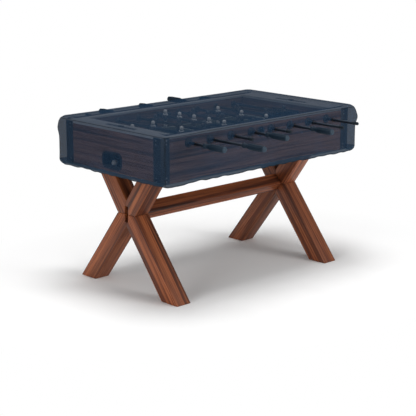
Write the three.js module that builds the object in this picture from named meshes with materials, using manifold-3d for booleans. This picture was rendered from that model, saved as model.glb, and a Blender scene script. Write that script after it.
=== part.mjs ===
// Foosball table on two trestles, with a fitted see-through cover. Millimetres, +Z up.
// X runs along the table, Y along the rods, and the floor is z = 0.
import * as THREE from "three";
import { mergeVertices } from "three/addons/utils/BufferGeometryUtils.js";
import Module from "manifold-3d";

const wasm = await Module();
wasm.setup();

// Overall sizes
const TABLE_LENGTH = 1420;
const TABLE_WIDTH = 768;
const TABLE_TOP = 894;
const CABINET_DEPTH = 244;

// Boards
const SIDE_THICK = 29;
const END_THICK = 25;
const GOAL_WALL_THICK = 14;
const PLAYFIELD_THICK = 12;
const BOTTOM_THICK = 12;
const RAIL_WIDTH = 34;
const RAIL_THICK = 14;
const DECK_WIDTH = 110;
const DECK_TO_GOAL_WALL = 3;

// Rods and men
const ROD_SPACING = 150;
const ROD_RADIUS = 8;
const ROD_BELOW_TOP = 48;
const RUNNING_GAP = 0.3;
const FOOT_REACH = 62;
const FOOT_TO_FIELD = 8;
const MAN_WIDTH = 34;
const MAN_THICK = 23;
const HEAD_RADIUS = 10.5;
const HEAD_HEIGHT = 31;
const HANDLE_LENGTH = 150;
const HANDLE_RADIUS = 17;
const HANDLE_SIDES = 8;
const HANDLE_TIP_WALL = 8;

// Goals, serve holes, scoring and ball return
const GOAL_WIDTH = 200;
const GOAL_HEIGHT = 66;
const SERVE_HOLE_RADIUS = 21;
const SLOT_LENGTH = 230;
const SLOT_WIDTH = 15;
const SLOT_FROM_END = 61;
const SLIDER_WIDTH = 20;
const SLIDER_LENGTH = 28;
const SLIDER_KNOB = 5;
const SLIDER_FLANGE = 3;
const CUP_WIDTH = 148;
const CUP_HEIGHT = 78;
const CUP_DEPTH = 62;
const CUP_WALL = 4;
const CUP_CORNER = 26;
const CUP_RIM = 7;
const CUP_RIM_THICK = 3;
const CUP_LIP = 14;
const CUP_ABOVE_BOTTOM = 22;

// Trestles
const BEAM_THICK = 96;
const BEAM_CUT = 122;
const TRESTLE_FROM_END = 136;
const FOOT_HALF_SPAN = 399;
const HEAD_HALF_SPAN = 236;
const WAIST_HALF = 70;
const WAIST_HEIGHT = 420;
const STRETCHER_SIDE = 72;
const TENON_WIDTH = 26;
const TENON_HEIGHT = 86;
const TENON_LENGTH = 66;

// Cover
const COVER_THICK = 2.4;
const COVER_END_GAP = 12;
const COVER_SIDE_GAP = 36;
const COVER_CORNER = 40;
const COVER_EDGE = 6;
const COVER_BELOW_CABINET = 12;
const COVER_CROWN = 17;
const COVER_SEAT = 6;
const COVER_CROWN_RATIO = 0.955;
const SLIT_CLEARANCE = 2;

// Clearances
const SEAT_GAP = 0.3;

// What follows from them
const HALF_LENGTH = TABLE_LENGTH / 2;
const HALF_WIDTH = TABLE_WIDTH / 2;
const CABINET_BOTTOM = TABLE_TOP - CABINET_DEPTH;
const INNER_HALF_WIDTH = HALF_WIDTH - SIDE_THICK;
const FIT_HALF_WIDTH = INNER_HALF_WIDTH - SEAT_GAP;
const ROD_Z = TABLE_TOP - ROD_BELOW_TOP;
const RAIL_BOTTOM = TABLE_TOP - RAIL_THICK;
const FIELD_Z = ROD_Z - FOOT_REACH - FOOT_TO_FIELD;
const DECK_EDGE = HALF_LENGTH - DECK_WIDTH;
const GOAL_WALL_X = DECK_EDGE + DECK_TO_GOAL_WALL;
const FIELD_HALF_LENGTH = GOAL_WALL_X + GOAL_WALL_THICK;
const BORE_RADIUS = ROD_RADIUS + RUNNING_GAP;
const CUP_Z = CABINET_BOTTOM + BOTTOM_THICK + CUP_ABOVE_BOTTOM + CUP_HEIGHT / 2;
const TRESTLE_X = HALF_LENGTH - TRESTLE_FROM_END;
const ROUND_STEPS = 24;
const BORE_STEPS = 16;

// Each kind of rod, seen with the rod in the middle of its travel: its men, how far the outer men
// stand from the walls, and how far the handle's tip and the plain end stand out of the cabinet.
const ROD_KINDS = {
  goalie: { men: 1, wallRoom: 0, tipOut: 321, plainOut: 171 },
  defence: { men: 2, wallRoom: 241, tipOut: 338, plainOut: 309 },
  five: { men: 5, wallRoom: 115, tipOut: 325, plainOut: 136 },
  three: { men: 3, wallRoom: 162, tipOut: 296, plainOut: 181 },
};

// The rods in order along +X: handleSide is -1 for the near team, and shift is where the rod rests.
const RODS = [
  { kind: "goalie", handleSide: -1, shift: 54 },
  { kind: "defence", handleSide: -1, shift: -54 },
  { kind: "three", handleSide: 1, shift: 21 },
  { kind: "five", handleSide: -1, shift: 59 },
  { kind: "five", handleSide: 1, shift: -12 },
  { kind: "three", handleSide: -1, shift: -14 },
  { kind: "defence", handleSide: 1, shift: 54 },
  { kind: "goalie", handleSide: 1, shift: -59 },
];

const finish = (color, roughness, metalness = 0) =>
  new THREE.MeshStandardMaterial({ color, roughness, metalness });

const FINISHES = {
  walnut: finish(0x69402c, 0.4),
  legWood: finish(0x7a4429, 0.35),
  lightLaminate: finish(0xaeaaaa, 0.45),
  field: finish(0x2f4a3f, 0.6),
  board: finish(0x1b1b1d, 0.7),
  blackPlastic: finish(0x17181a, 0.4),
  whitePlastic: finish(0xdcdcda, 0.35),
  steel: finish(0xc9ccd0, 0.2, 1),
  film: new THREE.MeshStandardMaterial({
    color: 0x293949,
    roughness: 0.4,
    metalness: 0,
    transparent: true,
    opacity: 0.8,
  }),
};

const table = new THREE.Group();

// A three.js geometry as a manifold-3d solid.
function solid(geometry) {
  const bare = geometry.clone();
  bare.deleteAttribute("normal");
  bare.deleteAttribute("uv");
  const merged = mergeVertices(bare, 1e-3);
  return new wasm.Manifold(
    new wasm.Mesh({
      numProp: 3,
      vertProperties: merged.attributes.position.array,
      triVerts: new Uint32Array(merged.index.array),
    }),
  );
}

// A manifold-3d solid as a three.js geometry.
function geometryOf(body) {
  const mesh = body.getMesh();
  const geometry = new THREE.BufferGeometry();
  geometry.setAttribute("position", new THREE.BufferAttribute(mesh.vertProperties, 3));
  geometry.setIndex(new THREE.BufferAttribute(mesh.triVerts, 1));
  geometry.computeVertexNormals();
  return geometry;
}

function addMesh(name, body, material, parent = table) {
  const mesh = new THREE.Mesh(geometryOf(body), material);
  mesh.name = name;
  parent.add(mesh);
  return mesh;
}

// A box between two corners.
function block(x0, x1, y0, y1, z0, z1) {
  const box = new THREE.BoxGeometry(x1 - x0, y1 - y0, z1 - z0);
  box.translate((x0 + x1) / 2, (y0 + y1) / 2, (z0 + z1) / 2);
  return solid(box);
}

// A cylinder along Y, from y0 to y1.
function barY(radius, y0, y1, x, z, sides = ROUND_STEPS) {
  const bar = new THREE.CylinderGeometry(radius, radius, y1 - y0, sides);
  bar.translate(x, (y0 + y1) / 2, 0);
  bar.translate(0, 0, z);
  return solid(bar);
}

// An outline drawn in the Y-Z plane and extruded along +X from x0 to x1.
function extrudeAlongX(shape, x0, x1, curveSegments = 6) {
  const body = new THREE.ExtrudeGeometry(shape, {
    depth: x1 - x0,
    bevelEnabled: false,
    curveSegments,
  });
  body.rotateX(Math.PI / 2);
  body.rotateZ(Math.PI / 2);
  body.translate(x0, 0, 0);
  return solid(body);
}

// An outline drawn in the X-Z plane and extruded along Y from y0 to y1.
function extrudeAlongY(shape, y0, y1, curveSegments = 6) {
  const body = new THREE.ExtrudeGeometry(shape, {
    depth: y1 - y0,
    bevelEnabled: false,
    curveSegments,
  });
  body.rotateX(Math.PI / 2);
  body.translate(0, y1, 0);
  return solid(body);
}

function polygon(points) {
  return new THREE.Shape(points.map(([u, v]) => new THREE.Vector2(u, v)));
}

function roundedRectangle(halfU, halfV, radius, centreV = 0) {
  const shape = new THREE.Shape();
  const low = centreV - halfV;
  const high = centreV + halfV;
  shape.moveTo(-halfU + radius, low);
  shape.lineTo(halfU - radius, low);
  shape.absarc(halfU - radius, low + radius, radius, -Math.PI / 2, 0);
  shape.lineTo(halfU, high - radius);
  shape.absarc(halfU - radius, high - radius, radius, 0, Math.PI / 2);
  shape.lineTo(-halfU + radius, high);
  shape.absarc(-halfU + radius, high - radius, radius, Math.PI / 2, Math.PI);
  shape.lineTo(-halfU, low + radius);
  shape.absarc(-halfU + radius, low + radius, radius, Math.PI, 1.5 * Math.PI);
  return shape;
}

const rodX = (index) => (index - (RODS.length - 1) / 2) * ROD_SPACING;

// Cabinet boards that come in pairs: side is -1 for near or left, and +1 for far or right.
function addSidePanel(name, side) {
  const [y0, y1] = [INNER_HALF_WIDTH * side, HALF_WIDTH * side].sort((a, b) => a - b);
  let panel = block(-HALF_LENGTH, HALF_LENGTH, y0, y1, CABINET_BOTTOM, RAIL_BOTTOM - SEAT_GAP);
  RODS.forEach((_, i) => {
    panel = panel.subtract(barY(BORE_RADIUS, y0 - 5, y1 + 5, rodX(i), ROD_Z, BORE_STEPS));
  });
  panel = panel.subtract(barY(SERVE_HOLE_RADIUS, y0 - 5, y1 + 5, 0, ROD_Z - RAIL_THICK / 2));
  addMesh(name, panel, FINISHES.walnut);
}

function addSideRail(name, side) {
  const [y0, y1] = [(HALF_WIDTH - RAIL_WIDTH) * side, HALF_WIDTH * side].sort((a, b) => a - b);
  const rail = block(-HALF_LENGTH, HALF_LENGTH, y0, y1, RAIL_BOTTOM, TABLE_TOP);
  addMesh(name, rail, FINISHES.lightLaminate);
}

function addEndPanel(name, side) {
  const [x0, x1] = [(HALF_LENGTH - END_THICK) * side, HALF_LENGTH * side].sort((a, b) => a - b);
  const board = block(x0, x1, -FIT_HALF_WIDTH, FIT_HALF_WIDTH, CABINET_BOTTOM, RAIL_BOTTOM - SEAT_GAP);
  const mouth = roundedRectangle(CUP_WIDTH / 2, CUP_HEIGHT / 2, CUP_CORNER, CUP_Z);
  addMesh(name, board.subtract(extrudeAlongX(mouth, x0 - 5, x1 + 5)), FINISHES.walnut);
}

function addEndDeck(name, side) {
  const [x0, x1] = [DECK_EDGE * side, HALF_LENGTH * side].sort((a, b) => a - b);
  const halfWidth = HALF_WIDTH - RAIL_WIDTH - SEAT_GAP;
  const slotX = (HALF_LENGTH - SLOT_FROM_END) * side;
  const deck = block(x0, x1, -halfWidth, halfWidth, RAIL_BOTTOM, TABLE_TOP);
  const slot = block(
    slotX - SLOT_WIDTH / 2,
    slotX + SLOT_WIDTH / 2,
    -SLOT_LENGTH / 2,
    SLOT_LENGTH / 2,
    RAIL_BOTTOM - 5,
    TABLE_TOP + 5,
  );
  addMesh(name, deck.subtract(slot), FINISHES.lightLaminate);
}

function addGoalWall(name, side) {
  const [x0, x1] = [GOAL_WALL_X * side, FIELD_HALF_LENGTH * side].sort((a, b) => a - b);
  const foot = FIELD_Z + SEAT_GAP;
  const wall = block(x0, x1, -FIT_HALF_WIDTH, FIT_HALF_WIDTH, foot, RAIL_BOTTOM - SEAT_GAP);
  const mouth = block(x0 - 5, x1 + 5, -GOAL_WIDTH / 2, GOAL_WIDTH / 2, foot - 5, FIELD_Z + GOAL_HEIGHT);
  addMesh(name, wall.subtract(mouth), FINISHES.lightLaminate);
}

// The cup hangs in its cut-out by a rim on the outside, and is open in front and on top.
function addBallReturn(name, side) {
  const fit = CUP_WIDTH / 2 - SEAT_GAP;
  const fitHeight = CUP_HEIGHT / 2 - SEAT_GAP;
  const face = HALF_LENGTH + SEAT_GAP;
  const inside = face - CUP_DEPTH;
  const outer = roundedRectangle(fit, fitHeight, CUP_CORNER - SEAT_GAP, CUP_Z);
  const hollow = roundedRectangle(
    fit - CUP_WALL,
    fitHeight - CUP_WALL,
    CUP_CORNER - SEAT_GAP - CUP_WALL,
    CUP_Z,
  );
  const rim = roundedRectangle(fit + CUP_RIM, fitHeight + CUP_RIM, CUP_CORNER + CUP_RIM, CUP_Z);
  const floor = CUP_Z - fitHeight;
  let cup = extrudeAlongX(outer, inside, face + 1).add(extrudeAlongX(rim, face, face + CUP_RIM_THICK));
  cup = cup.subtract(extrudeAlongX(hollow, inside + CUP_WALL, face + CUP_RIM_THICK + 5));
  const lip = extrudeAlongX(outer, face - END_THICK, face + CUP_RIM_THICK);
  const lipBand = block(face - CUP_WALL, face + CUP_RIM_THICK, -fit, fit, floor, floor + CUP_LIP);
  cup = cup.add(lip.intersect(lipBand));
  const ballDrop = block(
    inside - 5,
    HALF_LENGTH - END_THICK - SEAT_GAP,
    -fit + CUP_CORNER,
    fit - CUP_CORNER,
    CUP_Z,
    CUP_Z + CUP_HEIGHT,
  );
  const mesh = addMesh(name, cup.subtract(ballDrop), FINISHES.blackPlastic);
  mesh.rotation.z = side > 0 ? 0 : Math.PI;
}

// A bead with a knob above the deck, a stem through the slot and a flange below the deck.
function addScoreSlider(name, side) {
  const stem = SLOT_WIDTH / 2 - SEAT_GAP;
  const halfWidth = SLIDER_WIDTH / 2;
  const halfLength = SLIDER_LENGTH / 2;
  const low = RAIL_BOTTOM - SEAT_GAP;
  const high = TABLE_TOP + SEAT_GAP;
  const knob = block(-halfWidth, halfWidth, -halfLength, halfLength, high, high + SLIDER_KNOB);
  const flange = block(-halfWidth, halfWidth, -halfLength, halfLength, low - SLIDER_FLANGE, low);
  const shank = block(-stem, stem, -halfLength, halfLength, low - 1, high + 1);
  const mesh = addMesh(name, knob.add(flange).add(shank), FINISHES.blackPlastic);
  mesh.position.x = (HALF_LENGTH - SLOT_FROM_END) * side;
}

function addCabinet() {
  addSidePanel("side_panel_near", -1);
  addSidePanel("side_panel_far", 1);
  addEndPanel("end_panel_left", -1);
  addEndPanel("end_panel_right", 1);
  addSideRail("side_rail_near", -1);
  addSideRail("side_rail_far", 1);
  addEndDeck("end_deck_left", -1);
  addEndDeck("end_deck_right", 1);
  addGoalWall("goal_wall_left", -1);
  addGoalWall("goal_wall_right", 1);
  addBallReturn("ball_return_left", -1);
  addBallReturn("ball_return_right", 1);
  addScoreSlider("score_slider_left", -1);
  addScoreSlider("score_slider_right", 1);
  const field = block(
    -FIELD_HALF_LENGTH,
    FIELD_HALF_LENGTH,
    -FIT_HALF_WIDTH,
    FIT_HALF_WIDTH,
    FIELD_Z - PLAYFIELD_THICK,
    FIELD_Z,
  );
  addMesh("playfield", field, FINISHES.field);
  const endFit = HALF_LENGTH - END_THICK - SEAT_GAP;
  const bottom = block(
    -endFit,
    endFit,
    -FIT_HALF_WIDTH,
    FIT_HALF_WIDTH,
    CABINET_BOTTOM,
    CABINET_BOTTOM + BOTTOM_THICK,
  );
  addMesh("bottom_panel", bottom, FINISHES.board);
}

// A man round the origin, with the rod's bore along Y: what his front and side outlines share.
function makeMan() {
  const front = new THREE.Shape();
  const half = MAN_WIDTH / 2;
  front.moveTo(-half * 0.72, -FOOT_REACH);
  front.lineTo(half * 0.72, -FOOT_REACH);
  front.lineTo(half * 0.72, -FOOT_REACH * 0.72);
  front.lineTo(half * 0.55, -FOOT_REACH * 0.6);
  front.lineTo(half * 0.7, -ROD_RADIUS * 2.2);
  front.lineTo(half, -ROD_RADIUS);
  front.lineTo(half, HEAD_HEIGHT - HEAD_RADIUS * 1.5);
  front.lineTo(half * 0.4, HEAD_HEIGHT - HEAD_RADIUS * 0.6);
  front.lineTo(-half * 0.4, HEAD_HEIGHT - HEAD_RADIUS * 0.6);
  front.lineTo(-half, HEAD_HEIGHT - HEAD_RADIUS * 1.5);
  front.lineTo(-half, -ROD_RADIUS);
  front.lineTo(-half * 0.7, -ROD_RADIUS * 2.2);
  front.lineTo(-half * 0.55, -FOOT_REACH * 0.6);
  front.lineTo(-half * 0.72, -FOOT_REACH * 0.72);
  const chest = MAN_THICK / 2;
  const side = polygon([
    [-chest * 0.75, -FOOT_REACH],
    [chest * 0.75, -FOOT_REACH],
    [chest * 0.9, -FOOT_REACH * 0.78],
    [chest * 0.5, -FOOT_REACH * 0.6],
    [chest * 0.75, -ROD_RADIUS * 1.8],
    [chest, 0],
    [chest * 0.85, HEAD_HEIGHT - HEAD_RADIUS * 1.4],
    [chest * 0.35, HEAD_HEIGHT - HEAD_RADIUS * 0.6],
    [-chest * 0.35, HEAD_HEIGHT - HEAD_RADIUS * 0.6],
    [-chest * 0.85, HEAD_HEIGHT - HEAD_RADIUS * 1.4],
    [-chest, 0],
    [-chest * 0.75, -ROD_RADIUS * 1.8],
    [-chest * 0.5, -FOOT_REACH * 0.6],
    [-chest * 0.9, -FOOT_REACH * 0.78],
  ]);
  const head = new THREE.SphereGeometry(HEAD_RADIUS, 8, 6);
  head.rotateX(Math.PI / 2);
  head.translate(0, 0, HEAD_HEIGHT);
  const figure = extrudeAlongX(front, -MAN_THICK, MAN_THICK).intersect(
    extrudeAlongY(side, -MAN_WIDTH, MAN_WIDTH),
  );
  return figure.add(solid(head)).subtract(barY(BORE_RADIUS, -MAN_WIDTH, MAN_WIDTH, 0, 0, BORE_STEPS));
}

// A handle along +Y from the origin to its tip, with a knob, a neck and a faceted grip.
function makeHandle() {
  const length = HANDLE_LENGTH;
  const profile = [
    [0, 0],
    [HANDLE_RADIUS * 0.72, 0],
    [HANDLE_RADIUS * 0.82, length * 0.03],
    [HANDLE_RADIUS * 0.82, length * 0.1],
    [HANDLE_RADIUS * 0.64, length * 0.15],
    [HANDLE_RADIUS * 0.9, length * 0.24],
    [HANDLE_RADIUS, length * 0.34],
    [HANDLE_RADIUS, length * 0.86],
    [HANDLE_RADIUS * 0.8, length],
    [0, length],
  ].map(([r, y]) => new THREE.Vector2(r, y));
  const grip = solid(new THREE.LatheGeometry(profile, HANDLE_SIDES));
  return grip.subtract(barY(BORE_RADIUS, -5, length - HANDLE_TIP_WALL, 0, 0, BORE_STEPS));
}

function addRods() {
  const man = makeMan();
  const handle = makeHandle();
  RODS.forEach((rod, i) => {
    const kind = ROD_KINDS[rod.kind];
    const number = i + 1;
    const group = new THREE.Group();
    group.position.set(rodX(i), rod.shift, ROD_Z);
    table.add(group);
    const grip = rod.handleSide < 0 ? FINISHES.whitePlastic : FINISHES.blackPlastic;
    const handleMesh = addMesh(`handle_${number}`, handle, FINISHES.blackPlastic, group);
    const tip = HALF_WIDTH + kind.tipOut;
    const plain = HALF_WIDTH + kind.plainOut;
    handleMesh.position.y = rod.handleSide * (tip - HANDLE_LENGTH);
    handleMesh.rotation.z = rod.handleSide > 0 ? 0 : Math.PI;
    const boreEnd = tip - HANDLE_TIP_WALL - SEAT_GAP;
    const ends = [rod.handleSide * boreEnd, -rod.handleSide * plain].sort((a, b) => a - b);
    addMesh(`rod_shaft_${number}`, barY(ROD_RADIUS, ends[0], ends[1], 0, 0), FINISHES.steel, group);
    const outerMan = kind.men > 1 ? INNER_HALF_WIDTH - kind.wallRoom : 0;
    for (let k = 0; k < kind.men; k++) {
      const mesh = addMesh(`rod_${number}_man_${k + 1}`, man, grip, group);
      mesh.position.y = outerMan * ((2 * k) / Math.max(kind.men - 1, 1) - 1);
    }
  });
}

// Half of a trestle: an upper and a lower beam mitred at the waist, cut flat at both ends. It meets
// the other half at y = 0, where each holds half of the stretcher's mortise.
function makeBoomerang(side) {
  const headZ = CABINET_BOTTOM - SEAT_GAP;
  const seam = SEAT_GAP / 2;
  const upperSlope = (headZ - WAIST_HEIGHT) / (HEAD_HALF_SPAN - WAIST_HALF);
  const lowerSlope = WAIST_HEIGHT / (FOOT_HALF_SPAN - WAIST_HALF);
  const toSeam = BEAM_CUT - WAIST_HALF + seam;
  const outline = polygon([
    [seam, WAIST_HEIGHT - toSeam * lowerSlope],
    [FOOT_HALF_SPAN - BEAM_CUT, 0],
    [FOOT_HALF_SPAN, 0],
    [WAIST_HALF, WAIST_HEIGHT],
    [HEAD_HALF_SPAN, headZ],
    [HEAD_HALF_SPAN - BEAM_CUT, headZ],
    [seam, WAIST_HEIGHT + toSeam * upperSlope],
  ]);
  const mortise = block(
    -BEAM_THICK,
    BEAM_THICK,
    -TENON_WIDTH / 2 - SEAT_GAP,
    TENON_WIDTH / 2 + SEAT_GAP,
    WAIST_HEIGHT - TENON_HEIGHT / 2 - SEAT_GAP,
    WAIST_HEIGHT + TENON_HEIGHT / 2 + SEAT_GAP,
  );
  const half = extrudeAlongX(outline, -BEAM_THICK / 2, BEAM_THICK / 2).subtract(mortise);
  return side > 0 ? half : half.rotate([0, 0, 180]);
}

function addStand() {
  [
    ["left", -1],
    ["right", 1],
  ].forEach(([name, end]) => {
    const trestle = new THREE.Group();
    trestle.position.x = TRESTLE_X * end;
    table.add(trestle);
    addMesh(`leg_${name}_near`, makeBoomerang(-1), FINISHES.legWood, trestle);
    addMesh(`leg_${name}_far`, makeBoomerang(1), FINISHES.legWood, trestle);
  });
  const beamEnd = TRESTLE_X - BEAM_THICK / 2 - SEAT_GAP;
  const corner = STRETCHER_SIDE * Math.SQRT1_2;
  const diamond = polygon([
    [0, -corner],
    [corner, 0],
    [0, corner],
    [-corner, 0],
  ]);
  const tenonEnd = beamEnd + TENON_LENGTH;
  const tenons = block(
    -tenonEnd,
    tenonEnd,
    -TENON_WIDTH / 2,
    TENON_WIDTH / 2,
    -TENON_HEIGHT / 2,
    TENON_HEIGHT / 2,
  );
  const mesh = addMesh(
    "stretcher",
    extrudeAlongX(diamond, -beamEnd, beamEnd).add(tenons),
    FINISHES.legWood,
  );
  mesh.position.z = WAIST_HEIGHT;
}

// The cover's shape, drawn in by inset all round: straight walls, a rounded top edge and a crown.
function coverShape(inset, bottom) {
  const halfX = HALF_LENGTH + COVER_END_GAP + COVER_THICK - inset;
  const halfY = HALF_WIDTH + COVER_SIDE_GAP + COVER_THICK - inset;
  const seat = TABLE_TOP + SEAT_GAP + COVER_THICK - inset;
  const outline = roundedRectangle(halfX - COVER_EDGE, halfY - COVER_EDGE, COVER_CORNER - COVER_EDGE - inset);
  const walls = new THREE.ExtrudeGeometry(outline, {
    depth: seat - bottom,
    bevelEnabled: true,
    bevelThickness: COVER_EDGE,
    bevelSize: COVER_EDGE,
    bevelSegments: 2,
    curveSegments: 5,
  });
  walls.translate(0, 0, bottom - COVER_EDGE);
  const below = block(-halfX, halfX, -halfY, halfY, bottom - 3 * COVER_EDGE, bottom);
  const crown = new THREE.CylinderGeometry(COVER_CROWN_RATIO, 1, COVER_CROWN + 1, 4);
  crown.rotateX(Math.PI / 2);
  crown.rotateZ(Math.PI / 4);
  const baseX = HALF_LENGTH - COVER_SEAT;
  const baseY = HALF_WIDTH - COVER_SEAT;
  crown.scale(baseX * Math.SQRT2, baseY * Math.SQRT2, 1);
  crown.translate(0, 0, seat + (COVER_CROWN - 1) / 2);
  return solid(walls).subtract(below).add(solid(crown));
}

function addCover() {
  const hem = CABINET_BOTTOM - COVER_BELOW_CABINET;
  let cover = coverShape(0, hem).subtract(coverShape(COVER_THICK, hem - COVER_EDGE));
  const wallY = HALF_WIDTH + COVER_SIDE_GAP + COVER_THICK / 2;
  RODS.forEach((_, i) => {
    [-1, 1].forEach((side) => {
      const y0 = wallY * side - COVER_THICK * 2;
      const y1 = wallY * side + COVER_THICK * 2;
      const half = ROD_RADIUS + SLIT_CLEARANCE;
      const slit = block(rodX(i) - half, rodX(i) + half, y0, y1, hem - 2 * COVER_EDGE, ROD_Z);
      cover = cover.subtract(slit).subtract(barY(half, y0, y1, rodX(i), ROD_Z, ROUND_STEPS / 2));
    });
  });
  addMesh("cover", cover, FINISHES.film);
}

addCabinet();
addRods();
addStand();
addCover();

export default table;
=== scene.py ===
"""Foosball table on two trestles under a fitted see-through cover, dressed for rendering."""
import logging
import math
from dataclasses import dataclass, field
from enum import Enum

import bmesh
import bpy
from mathutils import Matrix, Vector, noise


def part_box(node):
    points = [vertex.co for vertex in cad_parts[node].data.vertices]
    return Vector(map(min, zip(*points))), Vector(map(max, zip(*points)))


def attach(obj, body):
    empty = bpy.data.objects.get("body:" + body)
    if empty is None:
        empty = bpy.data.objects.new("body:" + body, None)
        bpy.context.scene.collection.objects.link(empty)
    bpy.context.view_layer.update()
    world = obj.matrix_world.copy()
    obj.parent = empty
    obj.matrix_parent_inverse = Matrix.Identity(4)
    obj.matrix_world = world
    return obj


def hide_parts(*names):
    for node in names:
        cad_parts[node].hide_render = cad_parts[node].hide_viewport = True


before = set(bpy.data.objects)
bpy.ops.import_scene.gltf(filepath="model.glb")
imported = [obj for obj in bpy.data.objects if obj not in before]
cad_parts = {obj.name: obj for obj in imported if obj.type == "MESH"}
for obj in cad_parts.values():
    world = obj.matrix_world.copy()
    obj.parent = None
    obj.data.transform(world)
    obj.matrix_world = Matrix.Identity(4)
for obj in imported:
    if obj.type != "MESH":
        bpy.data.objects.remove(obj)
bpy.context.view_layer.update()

LOG = logging.getLogger("foosball")
logging.basicConfig(level=logging.INFO, format="%(name)s: %(message)s")

MM = 0.001
ROD_COUNT = 8

BMesh = bmesh.types.BMesh
BMVert = bmesh.types.BMVert
BMEdge = bmesh.types.BMEdge
Material = bpy.types.Material
Socket = bpy.types.NodeSocket
Triple = tuple[float, float, float]


class Place(Enum):
    """A sign along an axis, whose name goes into the names of pieces."""

    @property
    def tag(self) -> str:
        """The name in lower case."""
        return self.name.lower()


class Side(Place):
    """A long side of the table, by the sign of Y."""

    NEAR = -1
    FAR = 1


class End(Place):
    """A short end of the table, by the sign of X."""

    LEFT = -1
    RIGHT = 1


class Team(Enum):
    """The two teams, by the colour of their men."""

    LIGHT = "light"
    DARK = "dark"


@dataclass
class Extent:
    """The box of a CAD node.

    Args:
        node: The node's name.
    """

    node: str
    low: Vector = field(init=False)
    high: Vector = field(init=False)

    def __post_init__(self) -> None:
        """Reads the node's corners from the frame."""
        low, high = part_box(self.node)
        self.low, self.high = Vector(low), Vector(high)

    @property
    def centre(self) -> Vector:
        """The middle of the box."""
        return (self.low + self.high) / 2

    @property
    def size(self) -> Vector:
        """The lengths of the box."""
        return self.high - self.low

    def face(self, place: Place) -> float:
        """The box's outer x at an end, or its outer y at a side."""
        corner = self.high if place.value > 0 else self.low
        return corner.x if isinstance(place, End) else corner.y


# ---------------------------------------------------------------- materials


class Recipe:
    """A material's node tree, built a node at a time round one Principled shader.

    Args:
        name: The material's name.
    """

    def __init__(self, name: str) -> None:
        """Starts the material and its object coordinates."""
        self.material = bpy.data.materials.new(name)
        self.material.use_nodes = True
        self.tree = self.material.node_tree
        self.shader = self.tree.nodes["Principled BSDF"]
        self.place = self.add("ShaderNodeTexCoord").outputs["Object"]

    def add(self, kind: str, **settings: object) -> bpy.types.Node:
        """Adds a node."""
        node = self.tree.nodes.new(kind)
        for key, value in settings.items():
            setattr(node, key, value)
        return node

    def join(self, source: Socket, target: Socket) -> None:
        """Links an output to an input."""
        self.tree.links.new(source, target)

    def mapped(self, scale: Vector, turn: Triple = (0, 0, 0)) -> Socket:
        """Object coordinates, turned and then stretched."""
        turned = self.add("ShaderNodeMapping")
        self.join(self.place, turned.inputs["Vector"])
        turned.inputs["Rotation"].default_value = turn
        stretched = self.add("ShaderNodeMapping")
        self.join(turned.outputs[0], stretched.inputs["Vector"])
        stretched.inputs["Scale"].default_value = scale
        return stretched.outputs[0]

    def noise(
        self, coordinates: Socket, scale: float, detail: float = 4.0, distortion: float = 0.0
    ) -> Socket:
        """A noise value."""
        node = self.add("ShaderNodeTexNoise")
        self.join(coordinates, node.inputs["Vector"])
        node.inputs["Scale"].default_value = scale
        node.inputs["Detail"].default_value = detail
        node.inputs["Distortion"].default_value = distortion
        return node.outputs["Fac"]

    def ramp(
        self, value: Socket, stops: list[tuple[float, Triple]]
    ) -> Socket:
        """A colour ramp."""
        node = self.add("ShaderNodeValToRGB")
        self.join(value, node.inputs["Fac"])
        elements = node.color_ramp.elements
        while len(elements) < len(stops):
            elements.new(0.5)
        for element, (place, colour) in zip(elements, stops):
            element.position = place
            element.color = (*colour, 1.0)
        return node.outputs["Color"]

    def spread(self, value: Socket, low: float, high: float) -> Socket:
        """Maps 0.3 to 0.7 of a noise onto low to high."""
        node = self.add("ShaderNodeMapRange")
        self.join(value, node.inputs["Value"])
        node.inputs["From Min"].default_value = 0.3
        node.inputs["From Max"].default_value = 0.7
        node.inputs["To Min"].default_value = low
        node.inputs["To Max"].default_value = high
        return node.outputs["Result"]

    def math(self, operation: str, first: object, second: object = 0.0) -> Socket:
        """A Math node."""
        node = self.add("ShaderNodeMath", operation=operation)
        for socket, value in zip(node.inputs, (first, second)):
            if isinstance(value, Socket):
                self.join(value, socket)
            else:
                socket.default_value = value
        return node.outputs[0]

    def blend(self, factor: object, first: object, second: object, mode: str = "MIX") -> Socket:
        """Mixes two colours."""
        node = self.add("ShaderNodeMix", data_type="RGBA", blend_type=mode)
        for socket, value in ((node.inputs[0], factor), (node.inputs[6], first), (node.inputs[7], second)):
            if isinstance(value, Socket):
                self.join(value, socket)
            elif isinstance(value, tuple):
                socket.default_value = (*value, 1.0)
            else:
                socket.default_value = value
        return node.outputs[2]

    def bump(self, height: Socket, strength: float, depth: float) -> None:
        """Raises the surface by a height field."""
        node = self.add("ShaderNodeBump")
        node.inputs["Strength"].default_value = strength
        node.inputs["Distance"].default_value = depth
        self.join(height, node.inputs["Height"])
        self.join(node.outputs["Normal"], self.shader.inputs["Normal"])

    def paint(self, colour: Socket, rough: Socket) -> None:
        """Joins the shader's colour and roughness."""
        self.join(colour, self.shader.inputs["Base Color"])
        self.join(rough, self.shader.inputs["Roughness"])

    def set(self, **values: float) -> None:
        """Sets plain sockets of the shader, with _ for a space in a name."""
        for key, value in values.items():
            self.shader.inputs[key.replace("_", " ")].default_value = value


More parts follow.
